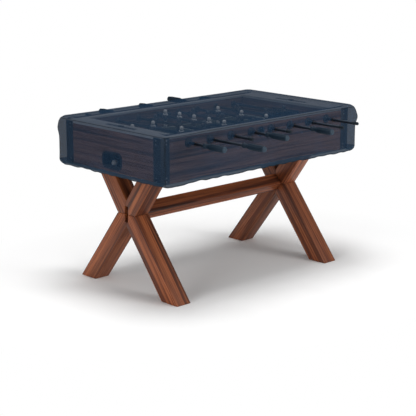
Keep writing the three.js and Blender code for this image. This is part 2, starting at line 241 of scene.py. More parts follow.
@dataclass(frozen=True)
class Timber:
    """A lacquered timber with straight grain.

    Args:
        dark: The late wood's colour.
        middle: The common colour.
        light: The early wood's colour.
        figure: How many bands of figure there are to a metre across the grain.
        stave: The width of a glued stave, or 0 for one board.
        gloss: The roughness of its smoothest parts.
    """

    dark: Triple
    middle: Triple
    light: Triple
    figure: float = 26.0
    stave: float = 0.0
    gloss: float = 0.44

    def material(self, name: str, turn: Triple = (0, 0, 0)) -> Material:
        """Builds the material.

        Args:
            name: Its name.
            turn: Euler angles that bring the grain onto X.

        Returns:
            The material.
        """
        recipe = Recipe(name)
        wide = recipe.mapped(Vector((0.9, self.figure, self.figure)), turn)
        figure = recipe.noise(wide, 1.0, 5.0, 0.9)
        colour = recipe.ramp(
            figure,
            [
                (0.30, self.dark),
                (0.44, self.middle),
                (0.58, self.light),
                (0.72, self.middle),
            ],
        )
        fine = recipe.mapped(Vector((7.0, 420.0, 420.0)), turn)
        pores = recipe.noise(fine, 1.0, 3.0)
        pore_tone = recipe.ramp(pores, [(0.36, (0.42, 0.36, 0.33)), (0.50, (1.0, 1.0, 1.0))])
        colour = recipe.blend(0.75, colour, pore_tone, "MULTIPLY")
        streaks = recipe.noise(recipe.mapped(Vector((1.6, 95.0, 95.0)), turn), 1.0, 2.0)
        streak_tone = recipe.ramp(streaks, [(0.38, (0.62, 0.55, 0.52)), (0.55, (1.06, 1.04, 1.02))])
        colour = recipe.blend(0.7, colour, streak_tone, "MULTIPLY")
        if self.stave:
            colour = self.staved(recipe, colour, turn)
        recipe.paint(colour, recipe.spread(pores, self.gloss + 0.14, self.gloss))
        recipe.set(Coat_Weight=0.06, Coat_Roughness=0.3, Specular_IOR_Level=0.3)
        recipe.bump(pores, 0.25, 0.0004)
        return recipe.material

    def staved(
        self, recipe: Recipe, colour: Socket, turn: Triple
    ) -> Socket:
        """Gives each glued stave its own tone.

        Args:
            recipe: The tree to add to.
            colour: The colour so far.
            turn: The grain's turn.

        Returns:
            The toned colour.
        """
        cells = recipe.mapped(Vector((0.0, 1 / self.stave, 1 / self.stave)), turn)
        floor = recipe.add("ShaderNodeVectorMath", operation="FLOOR")
        recipe.join(cells, floor.inputs[0])
        random = recipe.add("ShaderNodeTexWhiteNoise", noise_dimensions="3D")
        recipe.join(floor.outputs[0], random.inputs["Vector"])
        tone = recipe.ramp(
            random.outputs["Value"],
            [(0.0, (0.66, 0.60, 0.58)), (0.5, (1.0, 1.0, 1.0)), (1.0, (1.28, 1.2, 1.14))],
        )
        return recipe.blend(1.0, colour, tone, "MULTIPLY")


@dataclass(frozen=True)
class Moulded:
    """A moulded plastic or rubber with a fine grained skin.

    Args:
        colour: Its colour.
        roughness: Its mean roughness.
        grain: The fineness of the skin's grain, per metre.
        depth: The grain's depth in metres.
        coat: How much clear coat it has.
        gloss: The level of its reflections.
    """

    colour: Triple
    roughness: float = 0.4
    grain: float = 900.0
    depth: float = 0.0002
    coat: float = 0.0
    gloss: float = 0.5

    def material(self, name: str) -> Material:
        """Builds the material.

        Args:
            name: Its name.

        Returns:
            The material.
        """
        recipe = Recipe(name)
        even = recipe.mapped(Vector((1, 1, 1)))
        skin = recipe.noise(even, self.grain, 2.0)
        cloud = recipe.noise(even, 14.0, 3.0)
        darker = tuple(c * 0.86 for c in self.colour)
        lighter = tuple(min(c * 1.1 + 0.004, 1.0) for c in self.colour)
        rough = recipe.spread(cloud, self.roughness - 0.05, self.roughness + 0.07)
        recipe.paint(recipe.ramp(cloud, [(0.35, darker), (0.65, lighter)]), rough)
        recipe.set(Coat_Weight=self.coat, Coat_Roughness=0.12, Specular_IOR_Level=self.gloss)
        recipe.bump(skin, 0.2, self.depth)
        return recipe.material


@dataclass(frozen=True)
class Metal:
    """A polished or plated metal with faint scratches along Y.

    Args:
        colour: Its colour.
        roughness: Its mean roughness.
    """

    colour: Triple
    roughness: float = 0.2

    def material(self, name: str) -> Material:
        """Builds the material.

        Args:
            name: Its name.

        Returns:
            The material.
        """
        recipe = Recipe(name)
        lines = recipe.noise(recipe.mapped(Vector((900, 5, 900))), 1.0, 2.0)
        smear = recipe.noise(recipe.mapped(Vector((1, 1, 1))), 22.0, 3.0)
        darker = tuple(c * 0.88 for c in self.colour)
        both = recipe.math("ADD", recipe.spread(lines, 0.0, 0.10), recipe.spread(smear, 0.0, 0.08))
        rough = recipe.math("ADD", both, self.roughness)
        recipe.paint(recipe.ramp(smear, [(0.3, darker), (0.7, self.colour)]), rough)
        recipe.set(Metallic=1.0)
        recipe.bump(lines, 0.06, 0.0001)
        return recipe.material


@dataclass(frozen=True)
class Film:
    """The cover's see-through film: tinted, a little cloudy and softly creased.

    Args:
        colour: Its tint.
        solidity: The share of what is behind that it hides.
    """

    colour: Triple
    solidity: float = 0.85

    def material(self, name: str) -> Material:
        """Builds the material.

        Args:
            name: Its name.

        Returns:
            The material.
        """
        recipe = Recipe(name)
        even = recipe.mapped(Vector((1, 1, 1)))
        cloud = recipe.noise(even, 5.0, 4.0, 0.4)
        darker = tuple(c * 0.86 for c in self.colour)
        lighter = tuple(c * 1.14 for c in self.colour)
        weave = recipe.noise(even, 1400.0, 1.0)
        creases = recipe.noise(recipe.mapped(Vector((1, 1, 1.6))), 16.0, 3.0, 0.8)
        recipe.paint(recipe.ramp(cloud, [(0.3, darker), (0.7, lighter)]), recipe.spread(cloud, 0.50, 0.62))
        height = recipe.math("ADD", recipe.math("MULTIPLY", weave, 0.04), creases)
        recipe.bump(height, 0.35, 0.004)
        recipe.set(Alpha=self.solidity, Specular_IOR_Level=0.02)
        return recipe.material


@dataclass(frozen=True)
class Laminate:
    """A pale or dark laminate sheet with a faint brushed figure along X.

    Args:
        colour: Its colour.
        roughness: Its mean roughness.
    """

    colour: Triple
    roughness: float = 0.4

    def material(self, name: str) -> Material:
        """Builds the material.

        Args:
            name: Its name.

        Returns:
            The material.
        """
        recipe = Recipe(name)
        lines = recipe.noise(recipe.mapped(Vector((14, 260, 260))), 1.0, 3.0)
        cloud = recipe.noise(recipe.mapped(Vector((1, 1, 1))), 7.0, 3.0)
        darker = tuple(c * 0.9 for c in self.colour)
        lighter = tuple(min(1.0, c * 1.06) for c in self.colour)
        colour = recipe.ramp(lines, [(0.35, darker), (0.6, lighter)])
        tone = recipe.ramp(cloud, [(0.35, (0.93, 0.93, 0.94)), (0.65, (1.0, 1.0, 1.0))])
        rough = recipe.spread(cloud, self.roughness - 0.04, self.roughness + 0.08)
        recipe.paint(recipe.blend(1.0, colour, tone, "MULTIPLY"), rough)
        recipe.bump(lines, 0.08, 0.0002)
        return recipe.material


@dataclass
class Palette:
    """Every finish of the table, made once and shared."""

    walnut: Timber = Timber((0.036, 0.018, 0.013), (0.118, 0.060, 0.044), (0.208, 0.118, 0.088), 44.0)
    beam: Timber = Timber((0.034, 0.0085, 0.003), (0.134, 0.035, 0.0115), (0.275, 0.086, 0.030), 40.0, 0.033)
    pale: Laminate = Laminate((0.25, 0.26, 0.28))
    turf: Laminate = Laminate((0.020, 0.034, 0.030), 0.5)
    board: Laminate = Laminate((0.020, 0.019, 0.018), 0.6)
    paint: Laminate = Laminate((0.62, 0.63, 0.62), 0.5)
    black: Moulded = Moulded((0.012, 0.013, 0.015), 0.42)
    grip: Moulded = Moulded((0.005, 0.014, 0.026), 0.5, 1400.0, 0.0003, gloss=0.1)
    grip_cap: Moulded = Moulded((0.020, 0.038, 0.058), 0.5, gloss=0.15)
    rubber: Moulded = Moulded((0.006, 0.012, 0.019), 0.7, 700.0, 0.0004, gloss=0.15)
    light_team: Moulded = Moulded((0.50, 0.51, 0.52), 0.4, 500.0, 0.0001, 0.1)
    light_trim: Moulded = Moulded((0.05, 0.055, 0.065), 0.34, 500.0, 0.0001, 0.3)
    dark_team: Moulded = Moulded((0.022, 0.026, 0.034), 0.3, 500.0, 0.0001, 0.4)
    dark_trim: Moulded = Moulded((0.008, 0.009, 0.011), 0.34, 500.0, 0.0001, 0.3)
    # painted shade: the ball is taken to be white, and this grey stands in for the shade deep in the return
    # cup
    ball: Moulded = Moulded((0.30, 0.31, 0.32), 0.45, 260.0, 0.0006)
    steel: Metal = Metal((0.060, 0.078, 0.105), 0.26)
    screw: Metal = Metal((0.30, 0.30, 0.31), 0.32)
    film: Film = Film((0.0095, 0.0245, 0.049), 0.78)
    film_doubled: Film = Film((0.014, 0.030, 0.052), 0.95)
    binding: Moulded = Moulded((0.004, 0.009, 0.015), 0.6, 1500.0, 0.0003, gloss=0.1)
    made: dict[str, Material] = field(default_factory=dict)

    def get(self, name: str, turn: Triple | None = None) -> Material:
        """The material of a finish, built on first use."""
        key = name if turn is None else name + "".join(f"_{round(math.degrees(a))}" for a in turn)
        if key not in self.made:
            finish = getattr(self, name)
            label = "finish_" + key.replace("-", "m")
            self.made[key] = finish.material(label) if turn is None else finish.material(label, turn)
        return self.made[key]


PALETTE = Palette()
GRAIN_X = (0.0, 0.0, 0.0)
GRAIN_Y = (0.0, 0.0, math.radians(-90))


# ---------------------------------------------------------------- mesh tools


def block(low: Vector, high: Vector, edge: float = 0.0, steps: int = 2) -> BMesh:
    """A box with softened edges."""
    mesh = bmesh.new()
    bmesh.ops.create_cube(mesh, size=1.0)
    bmesh.ops.scale(mesh, vec=Vector(high) - Vector(low), verts=mesh.verts)
    bmesh.ops.translate(mesh, vec=(Vector(high) + Vector(low)) / 2, verts=mesh.verts)
    if edge:
        soften(mesh, edge, steps)
    return mesh


def soften(mesh: BMesh, edge: float, steps: int = 2, least: float = 25.0) -> None:
    """Bevels every edge sharper than an angle.

    Args:
        mesh: The mesh to bevel.
        edge: The bevel's width.
        steps: Its segments.
        least: The least angle between the faces, in degrees.
    """
    sharp = [e for e in mesh.edges if len(e.link_faces) == 2 and e.calc_face_angle(0) > math.radians(least)]
    bmesh.ops.bevel(
        mesh,
        geom=sharp,
        offset=edge,
        offset_type="OFFSET",
        segments=steps,
        profile=0.5,
        affect="EDGES",
        clamp_overlap=True,
        material=-1,
    )


def lathe(profile: list[tuple[float, float]], steps: int = 32) -> BMesh:
    """Turns an outline of (radius, height along Y) round the Y axis.

    Args:
        profile: The outline, from one end on the axis, or closed round a bore.
        steps: Segments of the turn.

    Returns:
        The closed mesh.
    """
    mesh = bmesh.new()
    chain = [mesh.verts.new((radius, along, 0.0)) for radius, along in profile]
    edges = [mesh.edges.new(pair) for pair in zip(chain, chain[1:])]
    if profile[0][0] > 0:
        edges.append(mesh.edges.new((chain[-1], chain[0])))
    bmesh.ops.spin(
        mesh,
        geom=chain + edges,
        cent=(0, 0, 0),
        axis=(0, 1, 0),
        angle=math.tau,
        steps=steps,
        use_merge=True,
    )
    bmesh.ops.remove_doubles(mesh, verts=mesh.verts, dist=1e-6)
    bmesh.ops.recalc_face_normals(mesh, faces=mesh.faces)
    return mesh


def mm(*points: tuple[float, float]) -> list[tuple[float, float]]:
    """Points given in millimetres, turned into metres."""
    return [(first * MM, second * MM) for first, second in points]


def only(made: dict, kind: type) -> list:
    """The elements of one kind among what an operator made."""
    return [item for item in made["geom"] if isinstance(item, kind)]


def facing(sign: float) -> Matrix:
    """The turn about Z that brings +Y to the side of a sign."""
    return Matrix.Identity(4) if sign > 0 else Matrix.Rotation(math.pi, 4, "Z")


def moved(mesh: BMesh, offset: Vector, turn: Matrix | None = None) -> BMesh:
    """Turns a mesh about the origin and then moves it."""
    if turn is not None:
        bmesh.ops.transform(mesh, matrix=turn, verts=mesh.verts)
    bmesh.ops.translate(mesh, vec=Vector(offset), verts=mesh.verts)
    return mesh


def merged(meshes: list[BMesh]) -> BMesh:
    """Puts several meshes into one."""
    whole = bmesh.new()
    for mesh in meshes:
        data = bpy.data.meshes.new("joining")
        mesh.to_mesh(data)
        mesh.free()
        whole.from_mesh(data)
        bpy.data.meshes.remove(data)
    return whole


def piece(
    mesh: BMesh,
    name: str,
    body: str,
    finishes: list[str | Material],
    sharp: float = 32.0,
) -> bpy.types.Object:
    """Makes a finished piece that rides on a body.

    Args:
        mesh: Its mesh, which is freed.
        name: Its name.
        body: The body that it rides on.
        finishes: Its finishes or materials, in the order of its faces' indices.
        sharp: The angle past which an edge is shaded as sharp, in degrees.

    Returns:
        The object.
    """
    for face in mesh.faces:
        face.smooth = True
    for edge in mesh.edges:
        if len(edge.link_faces) == 2:
            edge.smooth = edge.calc_face_angle(0) < math.radians(sharp)
    data = bpy.data.meshes.new(name)
    mesh.to_mesh(data)
    mesh.free()
    for finish in finishes:
        data.materials.append(PALETTE.get(finish) if isinstance(finish, str) else finish)
    thing = bpy.data.objects.new(name, data)
    bpy.context.scene.collection.objects.link(thing)
    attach(thing, body)
    LOG.info("made %s on %s", name, body)
    return thing


def dress(node: str, material: Material) -> None:
    """Gives a CAD node its material."""
    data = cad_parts[node].data
    data.materials.clear()
    data.materials.append(material)


# ---------------------------------------------------------------- the cabinet


@dataclass
class Cabinet:
    """The box of the table: panels, rails, decks, goals, field and what is screwed to them."""

    rail_edge: float = 3 * MM
    guard_leg: float = 56 * MM
    guard_sheet: float = 1.6 * MM
    screw_radius: float = 4.4 * MM
    line_width: float = 4 * MM
    line_rise: float = 0.35 * MM
    seat: float = 0.3 * MM
    goal_half: float = 100 * MM
    goal_height: float = 66 * MM
    goal_bar: float = 7 * MM
    serve_drop: float = 7 * MM
    slot_half: Vector = field(default_factory=lambda: Vector((7.5 * MM, 115 * MM)))
    frame_half: Vector = field(default_factory=lambda: Vector((12.5 * MM, 120 * MM)))
    frame_rise: float = 0.25 * MM
    goals: int = 11
    tick_step: float = 20 * MM
    tick_near: float = 15 * MM
    tick_far: float = 23 * MM
    tick_half: float = 0.8 * MM
    field_end: float = 592 * MM
    field_side: float = 322 * MM
    circle: float = 95 * MM

    def build(self) -> None:
        """Builds and dresses the whole cabinet."""
        self.dress_boards()
        for side in Side:
            self.build_rail(side)
            self.build_serve_cup(side)
        for end in End:
            self.build_goal_trim(end)
            self.build_score_bezel(end)
            for side in Side:
                self.build_guard(end, side)
        self.build_field_lines()

    def dress_boards(self) -> None:
        """Gives the boards their finishes."""
        for name in ("near", "far"):
            dress(f"side_panel_{name}", PALETTE.get("walnut", GRAIN_X))
        for name in ("left", "right"):
            dress(f"end_panel_{name}", PALETTE.get("walnut", GRAIN_Y))
            dress(f"end_deck_{name}", PALETTE.get("pale"))
            dress(f"goal_wall_{name}", PALETTE.get("walnut", GRAIN_Y))
            dress(f"ball_return_{name}", PALETTE.get("black"))
            dress(f"score_slider_{name}", PALETTE.get("black"))
        dress("playfield", PALETTE.get("turf"))
        dress("bottom_panel", PALETTE.get("board"))

    def build_rail(self, side: Side) -> None:
        """A pale rail with soft edges along a long side.

        Args:
            side: Which side.
        """
        name = f"side_rail_{side.tag}"
        rail = Extent(name)
        top = piece(
            block(rail.low, rail.high, self.rail_edge, 3),
            f"rail_{side.tag}",
            "table",
            ["pale"],
        )
        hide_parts(name)

    def build_serve_cup(self, side: Side) -> None:
        """The round cup where the ball is put in, lining the hole in a long side.

        Args:
            side: Which side.
        """
        panel = Extent(f"side_panel_{side.tag}")
        depth = panel.size.y
        outline = [
            (20.2 * MM, -depth - 1 * MM),
            (20.2 * MM, -1 * MM),
            (27 * MM, 0.4 * MM),
            (27 * MM, 3 * MM),
            (24 * MM, 4.6 * MM),
            (20 * MM, 3.4 * MM),
            (17 * MM, -6 * MM),
            (17 * MM, -depth - 1 * MM),
        ]
        cup = lathe(outline, 40)
        turn = facing(side.value)
        face = panel.face(side)
        centre = Vector((0, face, Extent("rod_shaft_1").centre.z - self.serve_drop))
        piece(moved(cup, centre, turn), f"serve_cup_{side.tag}", "table", ["black"])

    def build_goal_trim(self, end: End) -> None:
        """A dark arch round a goal mouth, on the field's side of the goal wall.

        Args:
            end: Which end.
        """
        wall = Extent(f"goal_wall_{end.tag}")
        face = wall.face(End(-end.value))
        out = -end.value
        half, high, bar = self.goal_half, wall.low.z + self.goal_height, self.goal_bar
        near, far = sorted((face, face + out * 2.5 * MM))
        low = wall.low.z + self.seat
        bars = [
            block(Vector((near, -half - bar, low)), Vector((far, -half, high + bar)), 0.8 * MM),
            block(Vector((near, half, low)), Vector((far, half + bar, high + bar)), 0.8 * MM),
            block(Vector((near, -half, high)), Vector((far, half, high + bar)), 0.8 * MM),
        ]
        piece(merged(bars), f"goal_trim_{end.tag}", "table", ["black"])

    def build_score_bezel(self, end: End) -> None:
        """A thin dark frame round a score slot, with a tick for each goal.

        Args:
            end: Which end.
        """
        top = Extent(f"end_deck_{end.tag}").high.z
        x = Extent(f"score_slider_{end.tag}").centre.x
        inner, outer = self.slot_half, self.frame_half
        parts = []

        def bar(x0: float, x1: float, y0: float, y1: float) -> None:
            """Adds a flat bar between two corners, given from the slot's middle."""
            (x0, x1), (y0, y1) = sorted((x0, x1)), sorted((y0, y1))
            parts.append(block(Vector((x + x0, y0, top)), Vector((x + x1, y1, top + self.frame_rise))))

        for sign in (-1, 1):
            bar(sign * inner.x, sign * outer.x, -outer.y, outer.y)
            bar(-inner.x, inner.x, sign * inner.y, sign * outer.y)
        for goal in range(self.goals):
            y = (goal - self.goals // 2) * self.tick_step
            near, far = -end.value * self.tick_near, -end.value * self.tick_far
            bar(near, far, y - self.tick_half, y + self.tick_half)
        piece(merged(parts), f"score_bezel_{end.tag}", "table", ["black"])

    def build_guard(self, end: End, side: Side) -> None:
        """A folded steel guard over a corner of the cabinet, with its four pairs of screws.

        Args:
            end: Which end.
            side: Which side.
        """
        panel = Extent(f"side_panel_{side.tag}")
        rail = Extent(f"side_rail_{side.tag}")
        x = panel.face(end)
        y = panel.face(side)
        low, high = panel.low.z + 0.5 * MM, rail.high.z - 3.5 * MM
        sheet, leg = self.guard_sheet, self.guard_leg
        gap = 0.1 * MM
        mesh = bmesh.new()
        outline = [(gap - leg, gap), (gap, gap), (gap, gap - leg)]
        start = [mesh.verts.new((u, v, low)) for u, v in outline]
        edges = [mesh.edges.new(pair) for pair in zip(start, start[1:])]
        raised = bmesh.ops.extrude_edge_only(mesh, edges=edges)
        verts = only(raised, BMVert)
        bmesh.ops.translate(mesh, vec=(0, 0, high - low), verts=verts)
        bmesh.ops.recalc_face_normals(mesh, faces=mesh.faces)
        mesh.normal_update()
        outward = mesh.faces[:][0].normal.y > 0 or mesh.faces[:][0].normal.x > 0
        bmesh.ops.solidify(mesh, geom=mesh.faces[:], thickness=-sheet if outward else sheet)
        bmesh.ops.recalc_face_normals(mesh, faces=mesh.faces)
        soften(mesh, 0.6 * MM, 2)
        screws = []
        for height in (low + 16 * MM, low + 34 * MM, high - 34 * MM, high - 16 * MM):
            screws.append(moved(self.screw(), Vector((-leg * 0.62, gap + sheet, height))))
            turned = Matrix.Rotation(-math.pi / 2, 4, "Z")
            screws.append(moved(self.screw(), Vector((gap + sheet, -leg * 0.62, height)), turned))
        for made, label, slot, finish in (
            (mesh, "corner_guard", "black_plastic", "black"),
            (merged(screws), "guard_screws", "rod_steel", "screw"),
        ):
            bmesh.ops.scale(made, vec=(end.value, side.value, 1), verts=made.verts)
            bmesh.ops.translate(made, vec=(x, y, 0), verts=made.verts)
            bmesh.ops.recalc_face_normals(made, faces=made.faces)
            name = f"{label}_{end.tag}_{side.tag}"
            piece(made, name, "table", [PALETTE.get(finish)])

    def screw(self) -> BMesh:
        """A pan-head screw with a round recess, standing out along +Y.

        Returns:
            The mesh.
        """
        r = self.screw_radius
        outline = [
            (0, 0),
            (r, 0),
            (r, 0.6 * MM),
            (r * 0.8, 1.8 * MM),
            (r * 0.45, 2.3 * MM),
            (r * 0.38, 1.2 * MM),
            (0, 1.0 * MM),
        ]
        return lathe(outline, 16)

    def build_field_lines(self) -> None:
        """The field's painted lines: halfway, centre circle, areas and goal lines."""
        turf = Extent("playfield")
        top = turf.high.z
        width, rise = self.line_width, self.line_rise
        parts = []

        def stripe(x0: float, x1: float, y0: float, y1: float) -> None:
            """Adds a straight line between two corners."""
            parts.append(block(Vector((x0, y0, top)), Vector((x1, y1, top + rise))))

        thin = width / 2
        end_x, side_y = self.field_end, self.field_side
        stripe(-thin, thin, thin - side_y, side_y - thin)
        for sign in (-1, 1):
            stripe(-end_x, end_x, sign * side_y - thin, sign * side_y + thin)
            stripe(sign * end_x - thin, sign * end_x + thin, -side_y, side_y)
            for depth, half in mm((200, 190), (90, 120)):
                edge = sign * (end_x - depth)
                stripe(edge - thin, edge + thin, -half, half)
                x0, x1 = sorted((edge, sign * end_x))
                for way in (-1, 1):
                    stripe(x0, x1, way * half - thin, way * half + thin)
        radius = self.circle
        high = rise * 1.1
        ring = [(radius - thin, 0), (radius + thin, 0), (radius + thin, high), (radius - thin, high)]
        spot = [(0, 0), (6 * MM, 0), (6 * MM, rise * 1.2), (0, rise * 1.2)]
        upright = Matrix.Rotation(math.pi / 2, 4, "X")
        for outline, steps in ((ring, 72), (spot, 24)):
            parts.append(moved(lathe(outline, steps), Vector((0, 0, top)), upright))
        piece(merged(parts), "field_lines", "table", ["paint"])


@dataclass
class BallReturn:
    """The ball that waits in the left return cup."""

    radius: float = 17 * MM
    behind_lip: float = 10 * MM
    aside: float = 8 * MM

    def build(self) -> None:
        """Makes the ball, resting on the cup's floor just behind its lip."""
        cup = Extent("ball_return_left")
        ball = bmesh.new()
        bmesh.ops.create_icosphere(ball, subdivisions=4, radius=self.radius)
        rim, wall = 7 * MM, 4 * MM
        floor = cup.low.z + rim + wall
        rise = self.radius + 0.3 * MM
        place = Vector((cup.low.x + self.behind_lip + self.radius, self.aside, floor + rise))
        # the ball's grey finish is painted shade for the deep cup, over a ball taken to be white
        piece(moved(ball, place), "ball", "table", ["ball"])


# ---------------------------------------------------------------- rods and men


@dataclass
class Man:
    """One man of a team, moulded in one piece round the rod.

    Args:
        team: His team.
    """

    team: Team
    sides: int = 20

    def sections(self) -> list[Triple]:
        """The man's cross-sections: height, half width and half thickness.

        Returns:
            The sections from his sole to his crown, in millimetres.
        """
        return [
            (-62.0, 9.5, 8.2),
            (-60.5, 11.6, 9.8),
            (-50.0, 12.0, 10.2),
            (-46.0, 10.8, 8.6),
            (-42.0, 8.0, 5.6),
            (-34.0, 9.4, 6.2),
            (-27.0, 10.4, 6.8),
            (-25.5, 12.6, 8.4),
            (-16.0, 13.0, 9.6),
            (-11.0, 12.6, 10.6),
            (-6.0, 12.4, 11.3),
            (2.0, 13.6, 11.3),
            (8.0, 15.6, 10.4),
            (13.0, 16.4, 9.6),
            (15.2, 15.4, 8.8),
            (16.2, 11.0, 7.6),
            (16.8, 6.8, 6.2),
            (18.4, 6.6, 6.4),
            (19.4, 9.0, 9.0),
            (23.0, 10.4, 10.4),
            (29.0, 10.8, 10.9),
            (33.5, 10.0, 10.3),
            (37.0, 7.6, 8.0),
            (38.6, 4.4, 4.8),
            (39.2, 2.0, 2.4),
        ]

    def mesh(self) -> BMesh:
        """Lofts the man round the origin and adds his arms and the sleeve round the rod.

        Returns:
            The mesh, with faces of the trim marked by material index 1.
        """
        man = bmesh.new()
        rings: list[list[BMEdge]] = []
        for height, half_width, half_depth in self.sections():
            made = bmesh.ops.create_circle(man, cap_ends=False, segments=self.sides, radius=1.0)
            verts = made["verts"]
            bmesh.ops.scale(man, vec=(half_depth * MM, half_width * MM, 1), verts=verts)
            bmesh.ops.translate(man, vec=(0, 0, height * MM), verts=verts)
            rings.append(list({e for v in verts for e in v.link_edges}))
        for lower, upper in zip(rings, rings[1:]):
            bmesh.ops.bridge_loops(man, edges=lower + upper)
        bmesh.ops.holes_fill(man, edges=rings[0] + rings[-1], sides=self.sides)
        bmesh.ops.recalc_face_normals(man, faces=man.faces)
        for face in man.faces:
            z = face.calc_center_median().z
            face.material_index = 1 if -26 * MM < z < -8 * MM or 16.0 * MM < z < 19.2 * MM else 0
        arms = [self.arm(sign) for sign in (-1, 1)]
        sleeve = lathe(
            mm((8.2, -17), (12.2, -17), (13.0, -16), (13.0, 16), (12.2, 17), (8.2, 17)),
            28,
        )
        for face in sleeve.faces:
            face.material_index = 1
        return merged([man, *arms, sleeve])

    def arm(self, sign: int) -> BMesh:
        """An arm held down against the body."""
        outline = mm((0, 0), (2.6, 0.4), (3.4, 2), (3.7, 10), (4.0, 22), (3.2, 26.5), (0, 28))
        upright = Matrix.Rotation(math.pi / 2, 4, "X")
        lean = Matrix.Rotation(math.radians(-5) * sign, 4, "X")
        arm = lathe(outline, 12)
        return moved(arm, Vector((0, sign * 14.2 * MM, -12 * MM)), lean @ upright)

    def finishes(self) -> list[str]:
        """The team's colour and its trim."""
        return [f"{self.team.value}_team", f"{self.team.value}_trim"]


@dataclass
class Rod:
    """A rod with its men, handle, bearings, bumpers and caps.

    Args:
        number: Its place from the left, from 1.
    """

    number: int
    flutes: int = 8
    ring_steps: int = 64
    bore: float = 8.15 * MM

    def __post_init__(self) -> None:
        """Reads the rod's nodes from the frame."""
        self.slide_body = f"rod_{self.number}"
        self.spin_body = f"figures_{self.number}"
        self.shaft = Extent(f"rod_shaft_{self.number}")
        self.handle = Extent(f"handle_{self.number}")
        self.side = Side.NEAR if self.handle.centre.y < 0 else Side.FAR
        self.team = Team.LIGHT if self.side is Side.NEAR else Team.DARK
        start = f"rod_{self.number}_man_"
        self.men = sorted(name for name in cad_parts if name.startswith(start))

    @property
    def axis(self) -> Vector:
        """A point on the rod's axis, at Y = 0."""
        return Vector((self.shaft.centre.x, 0, self.shaft.centre.z))

    def build(self) -> None:
        """Builds everything on the rod."""
        self.build_shaft()
        self.build_handle()
        self.build_men()
        self.build_bumpers()
        for side in Side:
            self.build_bearing(side)

    def put(self, mesh: BMesh, label: str, body: str, finish: str, sharp: float = 32.0) -> bpy.types.Object:
        """Makes one of the rod's pieces, with the rod's number in its name."""
        slot = {"steel": "rod_steel", "rubber": "black_plastic"}.get(finish, "handle_plastic")
        return piece(mesh, f"{label}_{self.number}", body, [finish], sharp)

    def build_shaft(self) -> None:
        """The polished bar and the rubber cap on its plain end."""
        radius = self.shaft.size.x / 2
        low, high = self.shaft.low.y, self.shaft.high.y
        edge = 1.2 * MM
        half = [(0, low), (radius - edge, low), (radius, low + edge)]
        outline = half + [(across, low + high - along) for across, along in reversed(half)]
        rod = moved(lathe(outline, 40), self.axis)
        bar = self.put(rod, "bar", self.slide_body, "steel")
        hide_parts(f"rod_shaft_{self.number}")
        plain, out = (high, 1) if self.side is Side.NEAR else (low, -1)
        tip = [(0, 0.4), (0, 3.5), (6.2, 3.2), (8.3, 1.2), (8.9, -2)]
        cap = lathe(mm(*tip, (8.9, -26), (8.6, -28), (8.1, -28), (8.1, 0.4)), 32)
        place = self.axis + Vector((0, plain, 0))
        self.put(moved(cap, place, facing(out)), "end_cap", self.slide_body, "rubber")

    def handle_profile(self, length: float) -> list[Triple]:
        """The handle's outline: radius and place in millimetres, and the flutes' depth."""
        full = length / MM
        return [
            *((11.4, 0.0, 0.0), (13.2, 0.8, 0.0), (13.8, 2.4, 0.0), (13.8, 13.0, 0.0)),
            *((12.6, 16.0, 0.0), (10.8, 19.0, 0.0), (10.6, 24.0, 0.0), (11.8, 30.0, 0.15)),
            *((14.0, 38.0, 0.5), (16.2, 48.0, 1.0), (16.9, 58.0, 1.0), (16.6, full * 0.55, 1.0)),
            *((16.9, full * 0.78, 1.0), (16.2, full * 0.88, 0.8), (14.6, full * 0.93, 0.2)),
            (14.2, full * 0.945, 0.0),
        ]

    def build_handle(self) -> None:
        """The fluted grip and the paler cap that closes its end."""
        length = self.handle.size.y
        grip = bmesh.new()
        rings = []
        steps = self.ring_steps
        for radius, along, depth in self.handle_profile(length):
            circle = bmesh.ops.create_circle(grip, cap_ends=False, segments=steps, radius=radius * MM)
            verts = circle["verts"]
            for vert in verts:
                around = math.atan2(vert.co.y, vert.co.x)
                flute = abs(math.sin(around * self.flutes / 2)) ** 0.7
                vert.co *= 1 - 0.11 * depth * (1 - flute)
            bmesh.ops.translate(grip, vec=(0, 0, along * MM), verts=verts)
            rings.append(list({e for v in verts for e in v.link_edges}))
        for lower, upper in zip(rings, rings[1:]):
            bmesh.ops.bridge_loops(grip, edges=lower + upper)
        bore = bmesh.ops.extrude_edge_only(grip, edges=rings[0])
        for vert in only(bore, BMVert):
            vert.co.xy = vert.co.xy.normalized() * self.bore
        bmesh.ops.holes_fill(grip, edges=rings[-1], sides=steps)
        deep = bmesh.ops.extrude_edge_only(grip, edges=[e for e in only(bore, BMEdge) if e.is_boundary])
        bmesh.ops.translate(grip, vec=(0, 0, length * 0.6), verts=only(deep, BMVert))
        bmesh.ops.holes_fill(grip, edges=[e for e in only(deep, BMEdge) if e.is_boundary], sides=steps)
        bmesh.ops.recalc_face_normals(grip, faces=grip.faces)
        along_y = Matrix.Rotation(-math.pi / 2, 4, "X")
        out = facing(self.side.value)
        turn = along_y if self.side is Side.FAR else out @ along_y
        start = self.handle.face(Side(-self.side.value))
        place = self.axis + Vector((0, start, 0))
        held = self.put(moved(grip, place, turn), "grip", self.spin_body, "grip", 40)
        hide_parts(f"handle_{self.number}")
        shares = ((14.4, 0.95), (14.9, 0.96), (14.6, 0.982), (12.0, 0.994))
        cap = [(0, length * 0.95), *((wide * MM, length * share) for wide, share in shares), (0, length)]
        self.put(moved(lathe(cap, 32), place, out), "grip_cap", self.spin_body, "grip_cap")

    def build_men(self) -> None:
        """The rod's men, each in his own node's place."""
        for name in self.men:
            node = Extent(name)
            man = Man(self.team)
            place = self.axis + Vector((0, node.centre.y, 0))
            label = name.replace("man", "figure")
            made = piece(moved(man.mesh(), place), label, self.spin_body, man.finishes(), 50)
            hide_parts(name)

